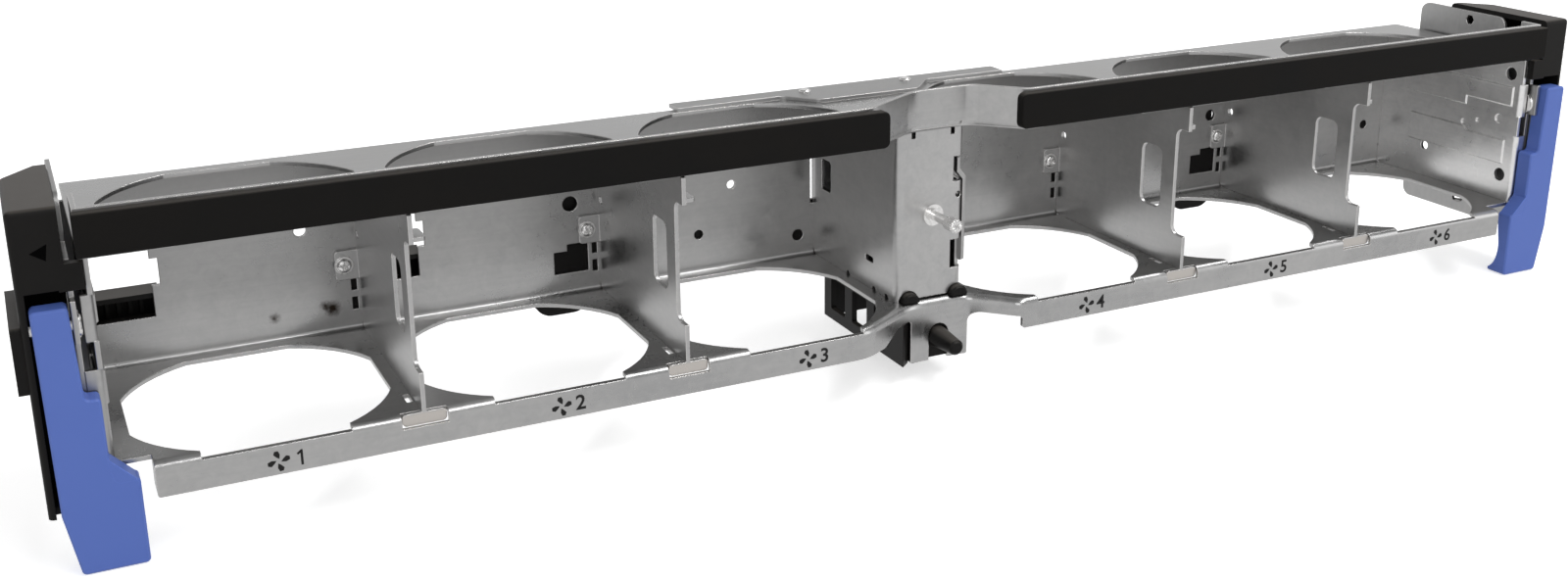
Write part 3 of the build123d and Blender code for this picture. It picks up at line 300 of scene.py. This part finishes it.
def galvanised(
    name, value, roughness, grain=(1, 1, 1), stains=(), lighter_below=None, painted_shade_top=None,
):
    """Zinc-coated sheet: mottling, rolling streaks, stains, cut edges lightened as a painted
    highlight, and painted shade towards a top height.
    """
    n = Nodes(name)
    cloud = n.noise(CLOUD_SCALE, detail=4, rough=0.55, warp=0.6)
    mottle = n.noise(MOTTLE_SCALE, detail=5, rough=0.62, warp=0.8)
    streak = n.noise(STREAK_SCALE, detail=2, rough=0.6, stretch=grain)
    tone = n.math(
        "ADD", n.math("MULTIPLY", cloud, CLOUD_SHARE), n.math("MULTIPLY", mottle, MOTTLE_SHARE),
    )
    tone = n.math("ADD", tone, n.math("MULTIPLY", streak, STREAK_SHARE))
    dark = grey(value * DARK_GAIN)
    light = grey(value * LIGHT_GAIN, warm=0.01)
    colour = n.mix(n.ramp(tone, low=0.36, high=0.64), dark, light)
    smudge = n.noise(SMUDGE_SCALE, detail=5, rough=0.7, warp=1.2)
    smudge = n.ramp(smudge, low=0.64, high=0.8, stop=SMUDGE_SHARE)
    colour = n.mix(smudge, colour, grey(value * SMUDGE_GAIN, warm=0.03))
    # Lighter and warmer below the given height
    if lighter_below is not None:
        height = n.axis(n.place, "Z")
        lighter = n.ramp(height, lighter_below - LIGHTER_BORDER, lighter_below, start=1.0, stop=0.0)
        colour = n.mix(lighter, colour, grey(value * LIGHTER_GAIN, warm=0.06))
    # Painted shade: darker towards the top height, ending just above it
    if painted_shade_top is not None:
        height = n.axis(n.place, "Z")
        painted_shade = n.ramp(height, painted_shade_top - PAINTED_SHADE_DEPTH, painted_shade_top, stop=PAINTED_SHADE_SHARE)
        under = n.ramp(height, painted_shade_top, painted_shade_top + PAINTED_SHADE_BORDER, start=1.0, stop=0.0)
        painted_shade = n.math("MULTIPLY", painted_shade, under)
        colour = n.mix(painted_shade, colour, grey(value * PAINTED_SHADE_GAIN, warm=0.02))
    # Painted highlight: edges lightened towards a pale grey
    edge = n.edge(EDGE_WIDTH)
    cut_and_highlight = grey(min(CUT_EDGE_AND_HIGHLIGHT_LIMIT, value * CUT_EDGE_AND_HIGHLIGHT_GAIN), warm=0.03)
    colour = n.mix(n.math("MULTIPLY", edge, CUT_EDGE_AND_HIGHLIGHT_SHARE), colour, cut_and_highlight)
    for centre, radius in stains:
        colour = n.mix(n.spot(centre, radius, STAIN_RAGGED), colour, STAIN_COLOUR)
    n.put(n.shader, "Base Color", colour)
    n.shader.inputs["Metallic"].default_value = 1.0
    varied = n.uneven(cloud, roughness, down=0.05, up=0.06)
    rough = n.math("ADD", varied, n.uneven(mottle, 0.0, down=0.035, up=0.035))
    glossier = n.math("MULTIPLY", edge, CUT_EDGE_GLOSS)
    n.put(n.shader, "Roughness", n.math("SUBTRACT", rough, glossier))
    streaks = n.math("MULTIPLY", streak, STREAK_RELIEF)
    relief = n.math("ADD", streaks, n.noise(GRIT_SCALE, detail=2))
    n.bump(relief, distance=0.005 * MM, strength=0.5, round_edge=0.35 * MM)
    return n.material


def moulded(
    name, colour, worn, roughness, shine=0.5, dust_and_sheen=0.0, grain_scale=2600, grain_depth=0.012,
):
    """Moulded plastic with a fine grain, rubbed edges, and dust with a painted sheen on what
    looks up.
    """
    n = Nodes(name)
    cloud = n.noise(WEAR_SCALE, detail=4, rough=0.6, warp=0.5)
    fine = n.noise(grain_scale, detail=2)
    mixed = n.mix(n.ramp(cloud, low=0.35, high=0.7, stop=WORN_SHARE), colour, worn)
    if dust_and_sheen:
        # Dust and a painted sheen: faces that look up turn brownish grey
        upper = n.facing_up()
        amount = n.ramp(cloud, low=0.25, high=0.75, start=dust_and_sheen * DUST_AND_SHEEN_THIN, stop=dust_and_sheen)
        mixed = n.mix(n.math("MULTIPLY", upper, amount), mixed, DUST_AND_SHEEN)
    edge = n.edge(EDGE_WIDTH)
    patches = n.noise(RUBBED_SCALE, detail=3, rough=0.6)
    patches = n.ramp(patches, low=0.35, high=0.7, start=0.2, stop=0.8)
    rubbed = n.math("MULTIPLY", edge, patches)
    rubbed_colour = tuple(min(1.0, c * RUBBED_GAIN) for c in worn[:3]) + (1,)
    n.put(n.shader, "Base Color", n.mix(rubbed, mixed, rubbed_colour))
    n.put(n.shader, "Roughness", n.uneven(cloud, roughness, down=0.05, up=0.06))
    n.shader.inputs["Specular IOR Level"].default_value = shine
    n.bump(fine, distance=grain_depth * MM, strength=0.6, round_edge=0.25 * MM)
    return n.material


def turned(name, value, roughness, knurl=None):
    """Bright plated steel of screws, pins and rivets, with a knurl round one axis."""
    n = Nodes(name)
    fine = n.noise(PLATED_SCALE, detail=3, rough=0.6)
    dull = grey(value * DULL_GAIN, warm=0.01)
    colour = n.mix(n.ramp(fine, low=0.3, high=0.7), dull, grey(value, warm=0.01))
    n.put(n.shader, "Base Color", colour)
    n.shader.inputs["Metallic"].default_value = 1.0
    n.put(n.shader, "Roughness", n.uneven(fine, roughness, down=0.05, up=0.05))
    if knurl is None:
        n.bump(fine, distance=0.01 * MM, strength=0.5, round_edge=0.2 * MM)
        return n.material
    axis_x, axis_z, stop_y = knurl
    across = n.math("SUBTRACT", n.axis(n.place, "X"), axis_x)
    above = n.math("SUBTRACT", n.axis(n.place, "Z"), axis_z)
    turn = n.math("MULTIPLY", n.math("ARCTAN2", across, above), KNURL_WAVES)
    along = n.math("MULTIPLY", n.axis(n.place, "Y"), KNURL_WAVES / KNURL_RADIUS)
    first = n.math("ABSOLUTE", n.math("SINE", n.math("ADD", turn, along)))
    second = n.math("ABSOLUTE", n.math("SINE", n.math("SUBTRACT", turn, along)))
    tip = n.ramp(n.axis(n.place, "Y"), stop_y, stop_y + KNURL_BORDER, 1.0, 0.0)
    n.bump(n.math("MULTIPLY", n.math("MULTIPLY", first, second), tip), KNURL_DEPTH)
    return n.material


# The channel's sheet carries painted shade that darkens its walls towards the roof
STEEL = galvanised(
    "galvanised_steel", 0.43, 0.30, grain=(0.06, 1, 1), stains=WALL_STAINS, painted_shade_top=ROOF,
)
STEEL_UPRIGHT = galvanised(
    "galvanised_upright", 0.47, 0.32, grain=(1, 0.12, 1), lighter_below=FLOOR,
)
# Painted light: the right end wall is a lighter copy of the sheet, for the light it gets from
# the open front
STEEL_END_LIT = galvanised("galvanised_end", 0.80, 0.30, grain=(1, 0.12, 1))
STEEL_WORN = galvanised("galvanised_worn", 0.41, 0.40, grain=(1, 1, 0.12))
BRIGHT = turned("plated_steel", 0.80, 0.20)
KNURLED = turned(
    "knurled_steel", 0.86, 0.18, knurl=(STUD_X, STUD_Z, STUD_LOW.y + KNURL_LENGTH),
)
BLACK = moulded(
    "black_moulding", (0.0072, 0.0067, 0.0064, 1), (0.011, 0.0098, 0.0088, 1),
    roughness=0.42, shine=0.12, dust_and_sheen=0.78,
)
TRIM = moulded(
    "black_trim", (0.0062, 0.0059, 0.0057, 1), (0.010, 0.0085, 0.0072, 1),
    roughness=0.55, shine=0.08, dust_and_sheen=0.5,
)
BLUE = moulded(
    "blue_moulding", (0.079, 0.140, 0.45, 1), (0.087, 0.150, 0.46, 1),
    roughness=0.46, shine=0.4, grain_scale=2200, grain_depth=0.006,
)
DEEP_BLACK = moulded(
    "deep_black", (0.0012, 0.0012, 0.0012, 1), (0.0014, 0.0014, 0.0014, 1),
    roughness=0.8, shine=0.02,
)
# Dark print of the signs, also put in the screw recesses as painted shade
INK_AND_SHADE = moulded(
    "dark_marking", (0.010, 0.010, 0.010, 1), (0.014, 0.013, 0.012, 1),
    roughness=0.6, shine=0.2,
)

NODE_MATERIALS = {
    "cage_channel": STEEL,
    "rear_bracket": STEEL_WORN,
    "tower_shell": STEEL_UPRIGHT,
    "tower_side_plate": STEEL_WORN,
    "tower_stud": KNURLED,
    "divider_screws": BRIGHT,
    "cable_tray": BLACK,
    "bracket_rivets": BRIGHT,
    "centre_housing": BLACK,
    "guide_pin": BLACK,
    "rear_guide_left": BLACK,
    "rear_guide_right": BLACK,
    "left_front_strip": TRIM,
    "right_front_strip": TRIM,
}
for number in (1, 2, 4, 5):
    NODE_MATERIALS[f"divider_{number}_{number + 1}"] = STEEL_UPRIGHT
for number in range(1, 7):
    NODE_MATERIALS[f"fan_connector_{number}"] = BLACK
for side in ("left", "right"):
    # The right end wall takes the lighter copy of the sheet, as painted light
    NODE_MATERIALS[f"{side}_end_wall"] = STEEL_WORN if side == "left" else STEEL_END_LIT
    NODE_MATERIALS[f"{side}_outer_plate"] = STEEL_WORN
    NODE_MATERIALS[f"{side}_end_housing"] = BLACK
    NODE_MATERIALS[f"{side}_lever_grip"] = BLUE
    NODE_MATERIALS[f"{side}_lever_arm"] = STEEL_WORN
    NODE_MATERIALS[f"{side}_pivot_pin"] = BRIGHT
for node, material in NODE_MATERIALS.items():
    cad = frame["nodes"][node]
    cad.data.materials.clear()
    cad.data.materials.append(material)


# Helpers for the pieces that are made here
def finished(shape, name):
    """The mesh of a shape; the shape itself is freed."""
    mesh = bpy.data.meshes.new(name)
    shape.to_mesh(mesh)
    shape.free()
    return mesh


def push_back(shape, faces, depth):
    """Give faces that look to the front a depth, towards the back."""
    result = bmesh.ops.extrude_face_region(shape, geom=faces)
    moved = [v for v in result["geom"] if isinstance(v, bmesh.types.BMVert)]
    bmesh.ops.translate(shape, vec=(0, depth, 0), verts=moved)


def evaluated_mesh(holder):
    """The mesh that an object comes out as; the object itself is taken away."""
    bpy.context.scene.collection.objects.link(holder)
    bpy.context.view_layer.update()
    depsgraph = bpy.context.evaluated_depsgraph_get()
    mesh = bpy.data.meshes.new_from_object(holder.evaluated_get(depsgraph))
    bpy.data.objects.remove(holder)
    return mesh


def add_piece(name, mesh, material, body="root"):
    """A visible piece of one material, which rides on a body of the model."""
    piece = bpy.data.objects.new(name, mesh)
    bpy.context.scene.collection.objects.link(piece)
    mesh.materials.clear()
    mesh.materials.append(material)
    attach(piece, body)
    return piece


# Signs on the lower lip: a small fan and the number of each bay.
# BLADE_TURN is in degrees, BLADE_RIM in radii of the fan, ONE_OUTLINE in millimetres.
SIGN_DEPTH = 0.03 * MM
SIGN_SUNK = 0.9
SIGN_HEIGHT = -4.6 * MM
FAN_OFFSET = 30.7 * MM
FAN_BLADES = 4
FAN_RADIUS = 2.35 * MM
FAN_HUB = 0.45 * MM
BLADE_TURN = 8
BLADE_ROOT = -0.10
BLADE_RIM = ((0.62, -0.22), (0.98, -0.12), (1.0, 0.20), (0.72, 0.34), (0.40, 0.12))
DIGIT_OFFSET = 35.2 * MM
DIGIT_SIZE = 5.0 * MM
DIGIT_WEIGHT = 0.09 * MM
ONE_OUTLINE = (
    (0.50, -1.75), (0.50, 1.75), (0.12, 1.75), (-0.78, 1.02),
    (-0.52, 0.62), (-0.02, 1.0), (-0.02, -1.75),
)


def blade_outline(turn):
    """One curved blade of the fan sign, as points on the lip."""
    points = [(FAN_HUB, BLADE_ROOT * FAN_RADIUS)]
    points += [(x * FAN_RADIUS, z * FAN_RADIUS) for x, z in BLADE_RIM]
    c, s = math.cos(turn), math.sin(turn)
    return [(x * c - z * s, x * s + z * c) for x, z in points]


def flat_shape(name, outlines, centre, face_y):
    """A thin plate with these outlines, lying on a face that looks to the front."""
    shape = bmesh.new()
    for outline in outlines:
        places = [(centre[0] + x, face_y - SIGN_DEPTH, centre[1] + z) for x, z in outline]
        shape.faces.new([shape.verts.new(place) for place in places])
    push_back(shape, shape.faces[:], SIGN_DEPTH * SIGN_SUNK)
    bmesh.ops.recalc_face_normals(shape, faces=shape.faces[:])
    return finished(shape, name)


def digit_mesh(text, centre, face_y):
    """A plain digit standing on the lip, from the built-in font."""
    curve = bpy.data.curves.new("digit", "FONT")
    curve.body = text
    curve.size = DIGIT_SIZE
    curve.offset = DIGIT_WEIGHT
    curve.align_x = "CENTER"
    curve.align_y = "CENTER"
    curve.extrude = SIGN_DEPTH / 2
    curve.resolution_u = 3
    mesh = evaluated_mesh(bpy.data.objects.new("digit", curve))
    place = Matrix.Translation((centre[0], face_y - SIGN_DEPTH / 2, centre[1]))
    mesh.transform(place @ Matrix.Rotation(math.pi / 2, 4, "X"))
    return mesh


LIP_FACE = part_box("cage_channel")[0].y
BAY_PITCH = 62.0 * MM
FOOT_HALF = 4.9 * MM
divider_places = [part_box(f"divider_{i}_{i + 1}")[1].x - FOOT_HALF for i in (1, 2, 4, 5)]
bay_starts = [
    first + step * BAY_PITCH for first in divider_places[::2] for step in (-1, 0, 1)
]
for number, start in enumerate(bay_starts, 1):
    turns = [math.radians(BLADE_TURN + 360 / FAN_BLADES * i) for i in range(FAN_BLADES)]
    place = (start + FAN_OFFSET, FLOOR + SIGN_HEIGHT)
    fan = flat_shape("fan_sign", [blade_outline(turn) for turn in turns], place, LIP_FACE)
    add_piece(f"fan_sign_{number}", fan, INK_AND_SHADE)
    place = (start + DIGIT_OFFSET, FLOOR + SIGN_HEIGHT)
    if number == 1:
        one = [(x * MM, z * MM) for x, z in ONE_OUTLINE]
        digit = flat_shape("digit", [one], place, LIP_FACE)
    else:
        digit = digit_mesh(str(number), place, LIP_FACE)
    add_piece(f"digit_{number}", digit, INK_AND_SHADE)

# Arrow on the front of the left housing
ARROW = ((-207.7 * MM, 46.5 * MM), (-204.9 * MM, 44.7 * MM), (-204.4 * MM, 48.1 * MM))
housing_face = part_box("left_end_housing")[0].y
arrow = flat_shape("arrow", [ARROW], (0, FLOOR), housing_face)
add_piece("housing_arrow", arrow, DEEP_BLACK)

# Sloping shoulders of the levers, which the solid grips have as a step:
# points of the right one, in millimetres from the middle and from the bay floor
SHOULDER = (
    (199.6, 3.1), (198.9, 3.1), (198.7, 2.5), (194.1, -2.3), (194.1, -2.9), (199.6, -2.9),
)
SHOULDER_INSET = 0.01 * MM
SHOULDER_DEPTH = 4.4 * MM
ON_FACE = 1e-7


def prism(name, outline, front_y, depth, rim=0.0):
    """A bar with this outline, from a front face back, with its front rim rounded."""
    shape = bmesh.new()
    front = shape.faces.new([shape.verts.new((x, front_y, z)) for x, z in outline])
    push_back(shape, [front], depth)
    if rim:
        edges = [
            e for e in shape.edges if all(abs(v.co.y - front_y) < ON_FACE for v in e.verts)
        ]
        bmesh.ops.bevel(
            shape, geom=edges, offset=rim, segments=3, affect="EDGES", profile=0.5,
        )
    bmesh.ops.recalc_face_normals(shape, faces=shape.faces[:])
    return finished(shape, name)


for side, sign in (("left", -1), ("right", 1)):
    outline = [(sign * x * MM, FLOOR + z * MM) for x, z in SHOULDER]
    lever_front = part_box(f"{side}_lever_grip")[0].y + SHOULDER_INSET
    shoulder = prism("shoulder", outline, lever_front, SHOULDER_DEPTH)
    add_piece(f"{side}_lever_shoulder", shoulder, BLUE, f"{side}_lever")

# Strips on the upper lip, square at the outer end and rounded towards the tower
STRIP_REACH = 1.8 * MM
STRIP_OUTER_ROUND = 0.4 * MM
STRIP_INNER_ROUND = 1.6 * MM
STRIP_RIM = 0.4 * MM


def rounded(corners, steps=5):
    """The outline of a rectangle with each (x, z, radius) corner rounded."""
    middle_x = sum(c[0] for c in corners) / len(corners)
    middle_z = sum(c[1] for c in corners) / len(corners)
    outline = []
    for i, (x, z, radius) in enumerate(corners):
        centre_x = x + math.copysign(radius, middle_x - x)
        centre_z = z + math.copysign(radius, middle_z - z)
        for step in range(steps + 1):
            turn = math.pi / 2 * (i + step / steps) + math.pi
            along = radius * math.cos(turn)
            outline.append((centre_x + along, centre_z + radius * math.sin(turn)))
    return outline


for side in ("left", "right"):
    low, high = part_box(f"{side}_front_strip")
    if side == "left":
        low.x -= STRIP_REACH
        radii = (STRIP_OUTER_ROUND, STRIP_INNER_ROUND)
    else:
        high.x += STRIP_REACH
        radii = (STRIP_INNER_ROUND, STRIP_OUTER_ROUND)
    corners = (
        (low.x, low.z, radii[0]), (high.x, low.z, radii[1]),
        (high.x, high.z, radii[1]), (low.x, high.z, radii[0]),
    )
    bar = prism("strip", rounded(corners), low.y, high.y - low.y, STRIP_RIM)
    strip = add_piece(f"{side}_lip_strip", bar, TRIM)
    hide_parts(f"{side}_front_strip")

# Screws of the dividers: pan heads on a washer, with a cross recess.
# The profile is (radius, y) in millimetres, from the middle of the head back.
SCREW_LEFT = 4.0 * MM
SCREW_UP = 16.8 * MM
SCREW_FACE = -2.0 * MM
SCREW_TURNS = (12, 57, 34, 79)
SCREW_PROFILE = (
    (0.0, -1.3), (0.8, -1.28), (1.3, -1.12), (1.6, -0.85), (1.75, -0.5), (1.75, -0.3),
    (2.25, -0.3), (2.3, -0.2), (2.3, 0.0), (1.2, 0.0), (1.2, 4.3), (1.0, 4.5), (0.0, 4.5),
)
SCREW_TOP = SCREW_PROFILE[0][1] * MM
RECESS_WIDTH = 0.6 * MM
RECESS_LENGTH = 2.3 * MM
RECESS_DEPTH = 0.75 * MM
RECESS_RIM = 0.12 * MM
SECOND_BAR = 0.99
WELD = 1e-6


def turned_mesh(name, profile, steps=40):
    """A closed body turned about the Y axis from (radius, y) points in millimetres."""
    shape = bmesh.new()
    verts = [shape.verts.new((radius * MM, y * MM, 0)) for radius, y in profile]
    edges = [shape.edges.new(pair) for pair in zip(verts, verts[1:])]
    bmesh.ops.spin(
        shape, geom=verts + edges, cent=(0, 0, 0), axis=(0, 1, 0),
        angle=2 * math.pi, steps=steps, use_merge=True,
    )
    bmesh.ops.remove_doubles(shape, verts=shape.verts[:], dist=WELD)
    bmesh.ops.recalc_face_normals(shape, faces=shape.faces[:])
    return finished(shape, name)


def recess_mesh():
    """Two crossed bars, one a little narrower so that no two of their faces agree."""
    shape = bmesh.new()
    bars = (
        (RECESS_LENGTH, RECESS_WIDTH),
        (RECESS_WIDTH * SECOND_BAR, RECESS_LENGTH),
    )
    for length, width in bars:
        size = Matrix.Diagonal((length, 2 * RECESS_DEPTH, width, 1))
        place = Matrix.Translation((0, SCREW_TOP, 0))
        bmesh.ops.create_cube(shape, size=1, matrix=place @ size)
    return finished(shape, "recess")


def screw_mesh():
    """A screw with its recess cut in; faces inside the recess take the second material, the
    dark marking, as painted shade.
    """
    cutter = bpy.data.objects.new("recess", recess_mesh())
    bpy.context.scene.collection.objects.link(cutter)
    holder = bpy.data.objects.new("screw", turned_mesh("screw", SCREW_PROFILE))
    cut_and_highlight = holder.modifiers.new("recess", "BOOLEAN")
    cut_and_highlight.object = cutter
    cut_and_highlight.operation = "DIFFERENCE"
    cut_and_highlight.solver = "EXACT"
    cut_and_highlight.use_self = True
    mesh = evaluated_mesh(holder)
    bpy.data.objects.remove(cutter)
    for face in mesh.polygons:
        inside = math.hypot(face.center.x, face.center.z) < RECESS_LENGTH / 2
        deep = SCREW_TOP + RECESS_RIM < face.center.y < 0
        face.material_index = int(inside and deep)
    return mesh


shape = bmesh.new()
screw = screw_mesh()
for x, turn in zip(divider_places, SCREW_TURNS):
    copy = screw.copy()
    place = Matrix.Translation((x - SCREW_LEFT, SCREW_FACE, FLOOR + SCREW_UP))
    copy.transform(place @ Matrix.Rotation(math.radians(turn), 4, "Y"))
    shape.from_mesh(copy)
screws = add_piece("cross_screws", finished(shape, "cross_screws"), BRIGHT)
# Faces inside the recesses take the dark marking as painted shade
screws.data.materials.append(INK_AND_SHADE)
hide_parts("divider_screws")

# Studio: a pale floor, a soft sky and three lamps.
# The floor's glow is for the camera alone, and metal sees the floor as FLOOR_IN_METAL.
FLOOR_HALF = 6.0
FLOOR_GAP = 0.2 * MM
FLOOR_COLOUR = (0.82, 0.82, 0.82, 1)
FLOOR_GLOW = 0.6
FLOOR_IN_METAL = 0.86
SKY_AT_HORIZON = 1.0
SKY_OVERHEAD = 0.36
SKY_EVEN_ABOVE = 0.75


def make_floor():
    """The floor below the cage, which keeps the cage's shadow."""
    shape = bmesh.new()
    bmesh.ops.create_grid(shape, x_segments=1, y_segments=1, size=FLOOR_HALF)
    mesh = finished(shape, "floor")
    mesh.transform(Matrix.Translation((0, 0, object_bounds()[0].z - FLOOR_GAP)))
    floor = bpy.data.objects.new("floor", mesh)
    bpy.context.scene.collection.objects.link(floor)
    n = Nodes("studio_floor")
    n.put(n.shader, "Base Color", FLOOR_COLOUR)
    n.put(n.shader, "Roughness", 0.9)
    n.shader.inputs["Specular IOR Level"].default_value = 0.0
    path = n.add("ShaderNodeLightPath")
    glow = n.add("ShaderNodeEmission")
    n.put(glow, "Strength", n.math("MULTIPLY", path.outputs["Is Camera Ray"], FLOOR_GLOW))
    both = n.add("ShaderNodeAddShader")
    n.link(n.shader.outputs[0], both.inputs[0])
    n.link(glow.outputs[0], both.inputs[1])
    mirrored = n.add("ShaderNodeEmission")
    n.put(mirrored, "Strength", FLOOR_IN_METAL)
    choice = n.add("ShaderNodeMixShader")
    n.link(path.outputs["Is Glossy Ray"], choice.inputs[0])
    n.link(both.outputs[0], choice.inputs[1])
    n.link(mirrored.outputs[0], choice.inputs[2])
    n.link(choice.outputs[0], n.output.inputs[0])
    mesh.materials.append(n.material)


def make_sky():
    """A sky that is white to the camera and dimmer overhead to the cage."""
    world = bpy.data.worlds.new("studio")
    bpy.context.scene.world = world
    world.use_nodes = True
    tree = world.node_tree
    background = tree.nodes["Background"]
    background.inputs["Color"].default_value = (1.0, 1.0, 1.0, 1)
    place = tree.nodes.new("ShaderNodeTexCoord").outputs["Generated"]
    split = tree.nodes.new("ShaderNodeSeparateXYZ")
    tree.links.new(place, split.inputs[0])
    shade = tree.nodes.new("ShaderNodeMapRange")
    tree.links.new(split.outputs["Z"], shade.inputs["Value"])
    shade.inputs["From Min"].default_value = 0.0
    shade.inputs["From Max"].default_value = SKY_EVEN_ABOVE
    shade.inputs["To Min"].default_value = SKY_AT_HORIZON
    shade.inputs["To Max"].default_value = SKY_OVERHEAD
    path = tree.nodes.new("ShaderNodeLightPath")
    white = tree.nodes.new("ShaderNodeMix")
    white.data_type = "FLOAT"
    tree.links.new(path.outputs["Is Camera Ray"], white.inputs[0])
    tree.links.new(shade.outputs[0], white.inputs[2])
    white.inputs[3].default_value = 1.0
    tree.links.new(white.outputs[0], background.inputs["Strength"])


def make_lamp(name, place, target, size, power):
    """A rectangular lamp that looks at a target."""
    data = bpy.data.lights.new(name, "AREA")
    data.shape = "RECTANGLE"
    data.size, data.size_y = size
    data.energy = power
    lamp = bpy.data.objects.new(name, data)
    bpy.context.scene.collection.objects.link(lamp)
    lamp.location = place
    lamp.rotation_mode = "QUATERNION"
    lamp.rotation_quaternion = (Vector(target) - Vector(place)).to_track_quat("-Z", "Y")


make_camera()
make_floor()
make_sky()
make_lamp("top_lamp", (0.50, -0.34, 1.10), target=(0.05, 0, 0), size=(1.7, 0.22), power=11)
make_lamp("key_lamp", (-0.75, -1.15, 0.75), target=(0, 0, 0), size=(0.8, 0.7), power=3)
make_lamp("side_lamp", (1.2, -0.8, 0.5), target=(0.1, 0, 0), size=(0.5, 0.8), power=2)
bpy.context.scene.view_settings.view_transform = "Standard"
